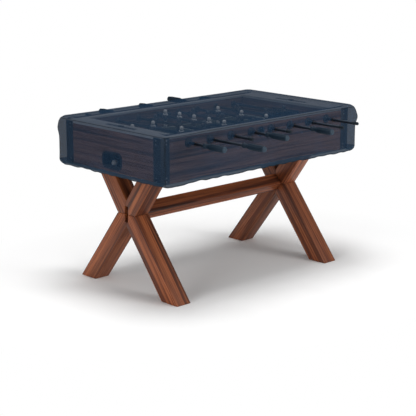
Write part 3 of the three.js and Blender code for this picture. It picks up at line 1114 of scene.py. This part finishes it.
    def build_bumpers(self) -> None:
        """A ribbed rubber bumper and a washer outside each outermost man."""
        outer = [Extent(name) for name in self.men]
        reach_low = min(man.low.y for man in outer)
        reach_high = max(man.high.y for man in outer)
        profile = [(8.1 * MM, 0.0), (12.5 * MM, 0.0)]
        for rib in range(4):
            start = (1.5 + rib * 4.5) * MM
            profile += [(14.2 * MM, start), (14.2 * MM, start + 2.4 * MM), (12.2 * MM, start + 3.5 * MM)]
        profile += [(12.2 * MM, 19.4 * MM), (8.1 * MM, 19.4 * MM)]
        parts = []
        for start, out in ((reach_high + 0.6 * MM, 1), (reach_low - 0.6 * MM, -1)):
            turn = facing(out)
            parts.append(moved(lathe(profile, 28), self.axis + Vector((0, start, 0)), turn))
        self.put(merged(parts), "bumpers", self.slide_body, "rubber")

    def build_bearing(self, side: Side) -> None:
        """A flanged bearing through a long panel, with a nut on the outside.

        Args:
            side: Which panel.
        """
        panel = Extent(f"side_panel_{side.tag}")
        outer = panel.face(side)
        inner = panel.face(Side(-side.value))
        lip = [(8.25, 0.05), (24, 0.05), (24, 2.6), (22.5, 4.2)]
        flange = mm(*lip, (16.5, 5.0), (15.5, 9.5), (12.5, 11.0), (8.25, 11.0))
        plate = mm((8.25, 0.05), (20, 0.05), (20, 1.8), (16, 3.2), (8.25, 3.4))
        turn = facing(side.value)
        back = Matrix.Rotation(math.pi, 4, "Z") @ turn
        parts = [
            moved(lathe(flange, 40), self.axis + Vector((0, outer, 0)), turn),
            moved(lathe(plate, 40), self.axis + Vector((0, inner, 0)), back),
        ]
        name = f"bearing_{self.number}_{side.tag}"
        piece(merged(parts), name, "table", ["black"])


# ---------------------------------------------------------------- the stand


@dataclass
class Trestle:
    """A pair of mitred beams back to back at one end of the table.

    Args:
        end: Which end.
    """

    end: End
    edge: float = 2.6 * MM
    waist: float = 420 * MM
    head: float = 236 * MM
    waist_half: float = 70 * MM
    cut: float = 122 * MM
    seam: float = 0.5 * MM
    slot_half: float = 13.3 * MM
    slot_rise: float = 43.3 * MM

    def build(self) -> None:
        """Builds both halves."""
        for side in Side:
            self.build_half(side)

    def build_half(self, side: Side) -> None:
        """An upper and a lower beam that meet in a mitre at the waist.

        Args:
            side: Which side of the trestle.
        """
        node = f"leg_{self.end.tag}_{side.tag}"
        half = Extent(node)
        foot = max(abs(half.low.y), abs(half.high.y))
        x0, x1 = half.low.x, half.high.x
        top = half.high.z
        head = self.head
        beams = []
        for index, (span, end_z) in enumerate(((head, top), (foot, 0.0))):
            run, rise = span - self.waist_half, end_z - self.waist
            slope = rise / run
            start = self.seam * (1 if rise > 0 else -1)
            level = self.waist + start
            ledge = self.waist + math.copysign(self.slot_rise, rise)
            outline = [
                Vector((self.seam, ledge)),
                Vector((self.slot_half, ledge)),
                Vector((self.slot_half, level)),
                Vector((self.waist_half + start / slope, level)),
                Vector((span, end_z)),
                Vector((span - self.cut, end_z)),
                Vector((self.seam, self.waist + (self.cut - self.waist_half + self.seam) * slope)),
            ]
            beams.append(self.beam(outline, side, x0, x1, index))
        made = merged(beams)
        turns = [self.grain(head, top, side), self.grain(foot, 0.0, side)]
        materials = [PALETTE.get("beam", turn) for turn in turns]
        leg = piece(made, f"trestle_{self.end.tag}_{side.tag}", "table", materials)
        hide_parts(node)

    def beam(self, outline: list[Vector], side: Side, x0: float, x1: float, index: int) -> BMesh:
        """Extrudes one beam's outline across the trestle.

        Args:
            outline: Its corners in Y and Z, for the far side.
            side: Which side it is for.
            x0: Its low face.
            x1: Its high face.
            index: Its material's index.

        Returns:
            The mesh.
        """
        mesh = bmesh.new()
        face = mesh.faces.new([mesh.verts.new((x0, side.value * p.x, p.y)) for p in outline])
        face.material_index = index
        raised = bmesh.ops.extrude_face_region(mesh, geom=[face])
        verts = only(raised, BMVert)
        bmesh.ops.translate(mesh, vec=(x1 - x0, 0, 0), verts=verts)
        for other in mesh.faces:
            other.material_index = index
        bmesh.ops.recalc_face_normals(mesh, faces=mesh.faces)
        soften(mesh, self.edge, 3, 20)
        return mesh

    def grain(self, span: float, end_z: float, side: Side) -> Triple:
        """The turn that brings a beam's run onto X."""
        along = Vector((0, side.value * (span - self.waist_half), end_z - self.waist)).normalized()
        return tuple(along.rotation_difference(Vector((1, 0, 0))).to_euler())


@dataclass
class Stretcher:
    """The square beam, set on its corner, between the trestles."""

    edge: float = 2.4 * MM

    def build(self) -> None:
        """Builds the beam and the ends of its tenons."""
        node = Extent("stretcher")
        half = node.size.z / 2
        legs = [Extent("leg_left_near"), Extent("leg_right_near")]
        x0, x1 = legs[0].high.x + 0.3 * MM, legs[1].low.x - 0.3 * MM
        side = half * math.sqrt(2)
        beam = block(Vector((x0, -side / 2, -side / 2)), Vector((x1, side / 2, side / 2)), self.edge, 3)
        turned = moved(beam, Vector((0, 0, node.centre.z)), Matrix.Rotation(math.pi / 4, 4, "X"))
        mid = node.centre.z
        tenons = [
            block(Vector((low, -13 * MM, mid - 43 * MM)), Vector((high, 13 * MM, mid + 43 * MM)), 1 * MM)
            for low, high in ((node.low.x, x0 + 4 * MM), (x1 - 4 * MM, node.high.x))
        ]
        wood = [PALETTE.get("beam", GRAIN_X)]
        made = piece(merged([turned, *tenons]), "cross_beam", "table", wood)
        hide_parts("stretcher")


# ---------------------------------------------------------------- the cover


@dataclass
class Cover:
    """The fitted see-through cover: one sheet with lapped slits for the rods, and its binding."""

    cell: float = 9.375 * MM
    corner: float = 56 * MM
    edge: float = 40 * MM
    turns: int = 6
    curl: float = 26 * MM
    curl_turns: int = 4
    curl_reach: float = math.radians(80)
    slack_x: float = 17 * MM
    slack_y: float = 25 * MM
    roll_top: float = 912 * MM
    span_top: float = 911.2 * MM
    rest_y: float = 366 * MM
    pinch: float = 24 * MM
    rest_gap: float = 1.4 * MM
    hem_lift: float = 8 * MM
    hole: float = 12 * MM
    pipe: float = 2.6 * MM
    stitch: float = 1.6 * MM
    ring: float = 11 * MM
    ring_steps: int = 24
    deck_start: float = 655 * MM
    deck_roll: float = 47 * MM
    rail_dip: float = 26 * MM
    end_fade: float = 40 * MM
    straight: float = 600 * MM
    pinch_end: float = 620 * MM
    pinch_blend: float = 200 * MM
    fold_height: float = 3.2 * MM
    gather_height: float = 2.4 * MM
    gather_step: float = 83 * MM
    poke_reach: float = 30 * MM
    hem_row: int = field(init=False, default=0)

    def __post_init__(self) -> None:
        """Reads the cover's box and the heights that shape it."""
        self.box = Extent("cover")
        self.half_x = self.box.high.x + self.slack_x
        self.half_y = self.box.high.y + self.slack_y
        self.rail = Extent("side_rail_far")
        self.rods = [Extent(f"rod_shaft_{n}") for n in range(1, ROD_COUNT + 1)]
        self.rod_z = self.rods[0].centre.z

    def build(self) -> None:
        """Builds the film and its binding."""
        film = self.build_film()
        self.build_binding(film)
        self.declare()

    def rounded(
        self, x: float, y: float, half_x: float, half_y: float, radius: float
    ) -> tuple[float, float]:
        """Draws a point in to a rectangle with rounded corners."""
        cx, cy = half_x - radius, half_y - radius
        dx, dy = abs(x) - cx, abs(y) - cy
        if dx <= 0 or dy <= 0:
            return x, y
        scale = max(dx, dy) / math.hypot(dx, dy)
        return math.copysign(cx + dx * scale, x), math.copysign(cy + dy * scale, y)

    def outward(self, x: float, y: float) -> Vector:
        """The wall's outward direction at a point on it."""
        dx = abs(x) - (self.half_x - self.corner)
        dy = abs(y) - (self.half_y - self.corner)
        if dx > 0 and dy > 0:
            way = Vector((dx, dy, 0))
        elif dx > dy:
            way = Vector((1, 0, 0))
        else:
            way = Vector((0, 1, 0))
        return Vector((math.copysign(way.x, x), math.copysign(way.y, y), 0)).normalized()

    def crown(self, x: float, y: float) -> float:
        """The height of the film's top: it rests along the rails and decks, and rolls up outside them."""
        span = self.half_y - self.edge - self.rest_y
        rise = max((abs(x) - self.deck_start) / self.deck_roll, (abs(y) - self.rest_y) / span, 0.0)
        level = self.span_top + (self.roll_top - self.span_top) * min(rise, 1.0) ** 2
        beside = (abs(y) - self.rest_y) / self.rail_dip
        fade = min(max((self.half_x - self.edge - abs(x)) / self.end_fade, 0.0), 1.0)
        dip = self.span_top - self.rail.high.z - self.rest_gap
        return level - dip * math.exp(-beside * beside) * fade

    def build_film(self) -> bpy.types.Object:
        """Makes the film from a grid whose border is drawn down into the walls.

        Returns:
            The cover.
        """
        inner_x, inner_y = self.half_x - self.edge, self.half_y - self.edge
        radius = self.corner - self.edge
        straight = self.straight
        mesh = bmesh.new()
        row = mesh.verts.layers.int.new("row")
        across, along = round(inner_y * 2 / self.cell), round(inner_x * 2 / self.cell)
        along += along % 2
        bmesh.ops.create_grid(mesh, x_segments=along, y_segments=across, size=0.5)
        exact = along * self.cell / 2
        for vert in mesh.verts:
            x, y = vert.co.x * 2 * exact, vert.co.y * 2 * inner_y
            if abs(x) > straight:
                stretch = (inner_x - straight) / (exact - straight)
                x = math.copysign(straight + (abs(x) - straight) * stretch, x)
            x, y = self.rounded(x, y, inner_x, inner_y, radius)
            vert.co = Vector((x, y, self.crown(x, y)))
        border = [e for e in mesh.edges if e.is_boundary]
        steps = self.wall_steps()
        self.hem_row = len(steps)
        for index, (push, drop) in enumerate(steps):
            made = bmesh.ops.extrude_edge_only(mesh, edges=border)
            verts = only(made, BMVert)
            for vert in verts:
                vert.co += self.outward(vert.co.x, vert.co.y) * push + Vector((0, 0, -drop))
                vert[row] = index + 1
            border = [e for e in only(made, BMEdge) if e.is_boundary]
        bmesh.ops.recalc_face_normals(mesh, faces=mesh.faces)
        self.cut_keyholes(mesh)
        self.crease(mesh)
        doubled = self.hem_row - self.curl_turns
        for face in mesh.faces:
            face.material_index = 1 if min(v[row] for v in face.verts) >= doubled else 0
        film = piece(mesh, "cover_film", "cover", ["film", "film_doubled"], 80)
        film.visible_shadow = False
        film.visible_diffuse = False
        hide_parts("cover")
        return film

    def wall_steps(self) -> list[tuple[float, float]]:
        """The rows of the walls, from the top edge down: how far out and how far down each goes.

        Returns:
            A push and a drop for each row, in metres.
        """
        steps = []
        before = (0.0, 0.0)
        for turn in range(1, self.turns + 1):
            angle = math.pi / 2 * turn / self.turns
            now = (self.edge * math.sin(angle), self.edge * (1 - math.cos(angle)))
            steps.append((now[0] - before[0], now[1] - before[1]))
            before = now
        to_rod = self.roll_top - self.edge - self.rod_z
        upper = max(2, round(to_rod / self.cell))
        below = self.rod_z - self.box.low.z - self.hem_lift - self.curl * math.sin(self.curl_reach)
        lower = round(below / self.cell)
        steps += [(0.0, to_rod / upper)] * upper
        steps += [(0.0, below / lower)] * lower
        before = (0.0, 0.0)
        for turn in range(1, self.curl_turns + 1):
            angle = self.curl_reach * turn / self.curl_turns
            now = (-self.curl * (1 - math.cos(angle)), self.curl * math.sin(angle))
            steps.append((now[0] - before[0], now[1] - before[1]))
            before = now
        return steps

    def cut_keyholes(self, mesh: BMesh) -> None:
        """Opens a round hole at each rod and a closed slit from it down to the hem.

        Args:
            mesh: The cover's mesh.
        """
        reach = self.curl + self.cell
        for rod in self.rods:
            for side in Side:
                wall = side.value * self.half_y
                middle = Vector((rod.centre.x, wall, self.rod_z))
                eye = min(mesh.verts, key=lambda v: (v.co - middle).length)
                ring = {v for f in eye.link_faces for v in f.verts if v is not eye}
                centre = eye.co.copy()
                for vert in ring:
                    away = vert.co - centre
                    away.y = 0
                    vert.co = Vector((centre.x, vert.co.y, centre.z)) + away.normalized() * self.hole
                below = [
                    e
                    for e in mesh.edges
                    if all(abs(v.co.x - centre.x) < 0.1 * MM for v in e.verts)
                    and abs(e.verts[0].co.y - wall) < reach
                    and max(v.co.z for v in e.verts) < centre.z - 0.5 * self.hole
                ]
                bmesh.ops.split_edges(mesh, edges=below)
                bmesh.ops.delete(mesh, geom=[eye], context="VERTS")

    def crease(self, mesh: BMesh) -> None:
        """Gives the film its slack: ripples on top, soft folds down the walls and a gathered hem.

        Args:
            mesh: The cover's mesh.
        """
        hem, knee = self.box.low.z, self.roll_top - self.edge
        row = mesh.verts.layers.int["row"]
        pokes = [
            (Vector((-self.half_x + 12 * MM, self.half_y - 12 * MM, self.rod_z - 2 * MM)), 8 * MM),
            (Vector((self.half_x - 12 * MM, -self.half_y + 12 * MM, self.rod_z - 6 * MM)), 13 * MM),
        ]
        for vert in mesh.verts:
            place = vert.co.copy()
            if vert[row] == 0:
                inset = min(630 * MM - abs(place.x), self.rest_y - 20 * MM - abs(place.y))
                slack = min(max(inset / (60 * MM), 0.0), 1.0)
                vert.co.z += (noise.fractal(place * 9, 0.6, 2.0, 3) * 2.0 - 0.4) * MM * slack
                continue
            if abs(place.x) < self.pinch_end:
                beyond = abs(place.y) - (self.half_y - self.edge)
                share = min((self.pinch_end - abs(place.x)) / self.pinch_blend, 1.0)
                drawn = beyond * self.pinch / self.edge * share * share * (3 - 2 * share)
                vert.co.y -= math.copysign(drawn, place.y)
            depth = min(max((knee - place.z) / (knee - hem), 0.0), 1.0)
            way = self.outward(place.x, place.y)
            run = place.x if abs(way.y) > abs(way.x) else place.y
            fold = noise.noise(Vector((place.x * 10, place.y * 10, place.z * 3)))
            gather = math.sin(run * math.tau / self.gather_step + 3.0 * noise.noise(place * 5))
            low = max(depth - 0.7, 0) / 0.3
            push = fold * self.fold_height * min(depth * 3, 1.0) + gather * self.gather_height * low
            for poke, height in pokes:
                push += height * math.exp(-(((place - poke).length / self.poke_reach) ** 2))
            vert.co += way * push
            wave = 2.6 * gather + 7.0 * noise.noise(Vector((place.x * 7, place.y * 7, 0)))
            vert.co.z += max(wave + 2.5, 0) * MM * low

    def build_binding(self, film: bpy.types.Object) -> None:
        """Round cords of binding along the hem and the top edge, on the film's own rows.

        Args:
            film: The cover.
        """
        mesh = bmesh.new()
        mesh.from_mesh(film.data)
        bmesh.ops.remove_doubles(mesh, verts=mesh.verts, dist=1e-5)
        row = mesh.verts.layers.int["row"]
        edge = ("edge_binding", self.turns // 2, 0.5 * self.pipe)
        hem = ("hem_binding", self.hem_row, self.pipe)
        for name, number, radius in (edge, hem):
            edges = [e for e in mesh.edges if all(v[row] == number for v in e.verts)]
            cord = self.tube(self.loop_points(edges), radius)
            piece(cord, name, "cover", ["binding"], 80)
        for side in Side:
            cords = [self.ring_cord(mesh, rod, side) for rod in self.rods]
            name = f"slits_{side.tag}_binding"
            piece(merged(cords), name, "cover", ["binding"], 80)
        first, last = self.turns // 2, self.hem_row
        for end in End:
            for side in Side:
                line = self.corner_line(mesh, end, side, first, last)
                name = f"corner_{end.tag}_{side.tag}_binding"
                cord = self.tube(line, self.pipe * 0.6, False)
                piece(cord, name, "cover", ["binding"], 80)
        mesh.free()

    def ring_cord(self, mesh: BMesh, rod: Extent, side: Side) -> BMesh:
        """The bound edge round one rod's hole: a true circle that the rod's end cap passes through.

        Args:
            mesh: The film's mesh, with the slits closed.
            rod: The rod's extent.
            side: Which wall.

        Returns:
            The ring, as a tube.
        """
        x, near = rod.centre.x, 1.2 * self.hole
        rim = [
            v.co.y
            for v in mesh.verts
            if v.is_boundary
            and v.co.y * side.value > 0
            and abs(v.co.x - x) < near
            and abs(v.co.z - self.rod_z) < near
        ]
        y = sum(rim) / len(rim)
        points = []
        for step in range(self.ring_steps):
            angle = math.tau * step / self.ring_steps
            across, up = self.ring * math.cos(angle), self.ring * math.sin(angle)
            points.append(Vector((x + across, y, self.rod_z + up)))
        return self.tube(points, self.stitch)

    def corner_line(
        self, mesh: BMesh, end: End, side: Side, first: int, last: int
    ) -> list[Vector]:
        """The seam down one rounded corner, midway round it.

        Args:
            mesh: The film's mesh.
            end: Which end.
            side: Which side.
            first: The row that it starts on.
            last: The row that it ends on.

        Returns:
            The line's points, from the top down.
        """
        row = mesh.verts.layers.int["row"]
        off_x, off_y = self.half_x - self.corner, self.half_y - self.corner
        middle = Vector((end.value * off_x, side.value * off_y, 0))
        slant = Vector((end.value, side.value, 0)).normalized()
        best: dict[int, tuple[float, Vector]] = {}
        for vert in mesh.verts:
            number = vert[row]
            if not first <= number <= last:
                continue
            away = vert.co - middle
            away.z = 0
            if away.dot(slant) <= 0:
                continue
            off = (away.normalized() - slant).length
            if number not in best or off < best[number][0]:
                best[number] = (off, vert.co.copy())
        return [best[number][1] for number in sorted(best)]

    def cut(self) -> Triple:
        """The cover's cut before it is sewn, from its measures alone and never from its mesh.

        It is the top panel, the roll round it, the wall and the turned hem, with no folds and no holes.

        Returns:
            Its width and length laid flat, and its area.
        """
        inner_x, inner_y = self.half_x - self.edge, self.half_y - self.edge
        radius = self.corner - self.edge
        roll, turned = self.edge * math.pi / 2, self.curl * self.curl_reach
        rise = self.curl * math.sin(self.curl_reach)
        wall = self.roll_top - self.edge - self.box.low.z - self.hem_lift - rise
        down = roll + wall + turned
        top = 4 * inner_x * inner_y - (4 - math.pi) * radius**2
        sides = 4 * (self.half_x + self.half_y - 2 * self.corner) * down
        round_roll = radius * roll + self.edge**2
        round_hem = self.corner * turned - self.curl * (turned - rise)
        corners = math.tau * (round_roll + self.corner * wall + round_hem)
        return 2 * (inner_y + down), 2 * (inner_x + down), top + sides + corners

    def declare(self) -> None:
        width, length, area = self.cut()

    def loop_points(self, edges: list[BMEdge]) -> list[Vector]:
        """Puts a closed loop's points in order.

        Args:
            edges: The loop's edges.

        Returns:
            The points.
        """
        beside: dict[BMVert, list[BMVert]] = {}
        for edge in edges:
            first, second = edge.verts
            beside.setdefault(first, []).append(second)
            beside.setdefault(second, []).append(first)
        start = edges[0].verts[0]
        points, before, now = [start.co.copy()], None, start
        while len(points) <= len(edges):
            following = [v for v in beside[now] if v is not before]
            if not following or following[0] is start:
                break
            before, now = now, following[0]
            points.append(now.co.copy())
        return points

    def tube(self, points: list[Vector], radius: float, closed: bool = True) -> BMesh:
        """A round tube through points.

        Args:
            points: The line that it follows.
            radius: Its radius.
            closed: Whether the line is a loop.

        Returns:
            The mesh.
        """
        curve = bpy.data.curves.new("binding_path", "CURVE")
        curve.dimensions = "3D"
        curve.bevel_depth = radius
        curve.bevel_resolution = 1
        line = curve.splines.new("POLY")
        line.points.add(len(points) - 1)
        for knot, point in zip(line.points, points):
            knot.co = (*point, 1.0)
        line.use_cyclic_u = closed
        curve.use_fill_caps = not closed
        carrier = bpy.data.objects.new("binding_path", curve)
        bpy.context.scene.collection.objects.link(carrier)
        data = bpy.data.meshes.new_from_object(carrier.evaluated_get(bpy.context.evaluated_depsgraph_get()))
        mesh = bmesh.new()
        mesh.from_mesh(data)
        bpy.data.objects.remove(carrier)
        bpy.data.curves.remove(curve)
        bpy.data.meshes.remove(data)
        bmesh.ops.remove_doubles(mesh, verts=mesh.verts, dist=1e-6)
        bmesh.ops.recalc_face_normals(mesh, faces=mesh.faces)
        return mesh


# ---------------------------------------------------------------- the studio


@dataclass
class Studio:
    """The floor, the light and the camera."""

    eye: Triple = (-4.606, -4.828, 1.993)
    heading: float = 43.50
    tilt: float = 13.84
    lens: float = 105.2
    sky: float = 0.32
    fade_start: float = 0.9
    fade_end: float = 1.7
    lamp_size: float = 2.4

    def build(self) -> None:
        """Sets up the studio."""
        self.build_floor()
        self.build_world()
        self.build_lamps()
        self.build_camera()
        bpy.context.scene.view_settings.view_transform = "Standard"

    def build_floor(self) -> None:
        """A plain white floor that keeps the table's shadow."""
        mesh = bmesh.new()
        bmesh.ops.create_grid(mesh, x_segments=1, y_segments=1, size=40.0)
        bmesh.ops.translate(mesh, vec=(0, 0, -0.5 * MM), verts=mesh.verts)
        data = bpy.data.meshes.new("floor")
        mesh.to_mesh(data)
        mesh.free()
        data.materials.append(self.floor_material())
        floor = bpy.data.objects.new("floor", data)
        bpy.context.scene.collection.objects.link(floor)

    def floor_material(self) -> Material:
        """A white that runs out to plain white away from the table, for what looks at it directly.

        Returns:
            The material.
        """
        recipe = Recipe("floor_white")
        recipe.shader.inputs["Base Color"].default_value = (0.96, 0.96, 0.96, 1.0)
        recipe.set(Roughness=0.9, Specular_IOR_Level=0.1)
        length = recipe.add("ShaderNodeVectorMath", operation="LENGTH")
        recipe.join(recipe.mapped(Vector((1.0, 1.25, 1.0))), length.inputs[0])
        fade = recipe.add("ShaderNodeMapRange", interpolation_type="SMOOTHSTEP")
        recipe.join(length.outputs["Value"], fade.inputs["Value"])
        fade.inputs["From Min"].default_value = self.fade_start
        fade.inputs["From Max"].default_value = self.fade_end
        rays = recipe.add("ShaderNodeLightPath").outputs
        direct = recipe.math("MAXIMUM", rays["Is Camera Ray"], rays["Is Glossy Ray"])
        seen = recipe.math("MAXIMUM", direct, rays["Is Transmission Ray"])
        mix = recipe.add("ShaderNodeMixShader")
        white = recipe.add("ShaderNodeEmission")
        recipe.join(recipe.math("MULTIPLY", seen, fade.outputs[0]), mix.inputs[0])
        recipe.join(recipe.shader.outputs[0], mix.inputs[1])
        recipe.join(white.outputs[0], mix.inputs[2])
        recipe.join(mix.outputs[0], recipe.tree.nodes["Material Output"].inputs[0])
        return recipe.material

    def build_world(self) -> None:
        """An even white sky: full white to the camera, and at a lower strength in reflections and in the
        light it gives.
        """
        world = bpy.data.worlds.new("studio")
        bpy.context.scene.world = world
        world.use_nodes = True
        tree = world.node_tree
        plain = tree.nodes["Background"]
        plain.inputs["Color"].default_value = (1, 1, 1, 1)
        plain.inputs["Strength"].default_value = self.sky
        seen = tree.nodes.new("ShaderNodeBackground")
        seen.inputs["Strength"].default_value = 1.0
        rays = tree.nodes.new("ShaderNodeLightPath")
        mix = tree.nodes.new("ShaderNodeMixShader")
        tree.links.new(rays.outputs["Is Camera Ray"], mix.inputs[0])
        tree.links.new(plain.outputs[0], mix.inputs[1])
        tree.links.new(seen.outputs[0], mix.inputs[2])
        tree.links.new(mix.outputs[0], tree.nodes["World Output"].inputs[0])

    def build_lamps(self) -> None:
        """Three soft lamps: a key from the near right, a fill from the left and one from above."""
        for name, place, power in (
            ("key", (1.6, -4.6, 1.5), 118),
            ("fill", (-4.8, -0.8, 1.3), 82),
            ("top", (-0.1, 0.2, 5.0), 160),
        ):
            light = bpy.data.lights.new(name, "AREA")
            light.shape = "DISK"
            light.size = self.lamp_size
            light.energy = power
            lamp = bpy.data.objects.new(name, light)
            lamp.location = place
            aim = Vector((0, 0, 0.5)) - Vector(place)
            lamp.rotation_euler = aim.to_track_quat("-Z", "Y").to_euler()
            bpy.context.scene.collection.objects.link(lamp)

    def build_camera(self) -> None:
        """The camera, on the near left of the table."""
        camera = bpy.data.cameras.new("camera")
        camera.lens = self.lens
        camera.sensor_width = 36
        camera.clip_end = 200
        holder = bpy.data.objects.new("camera", camera)
        holder.location = self.eye
        heading, tilt = math.radians(self.heading), math.radians(self.tilt)
        level = math.cos(tilt)
        look = Vector((math.sin(heading) * level, math.cos(heading) * level, -math.sin(tilt)))
        holder.rotation_euler = look.to_track_quat("-Z", "Y").to_euler()
        bpy.context.scene.collection.objects.link(holder)
        bpy.context.scene.camera = holder


def main() -> None:
    """Builds the studio and the table, piece by piece."""
    Studio().build()
    Cabinet().build()
    BallReturn().build()
    for number in range(1, ROD_COUNT + 1):
        Rod(number).build()
    for end in End:
        Trestle(end).build()
    Stretcher().build()
    Cover().build()


if __name__ == "__main__":
    main()
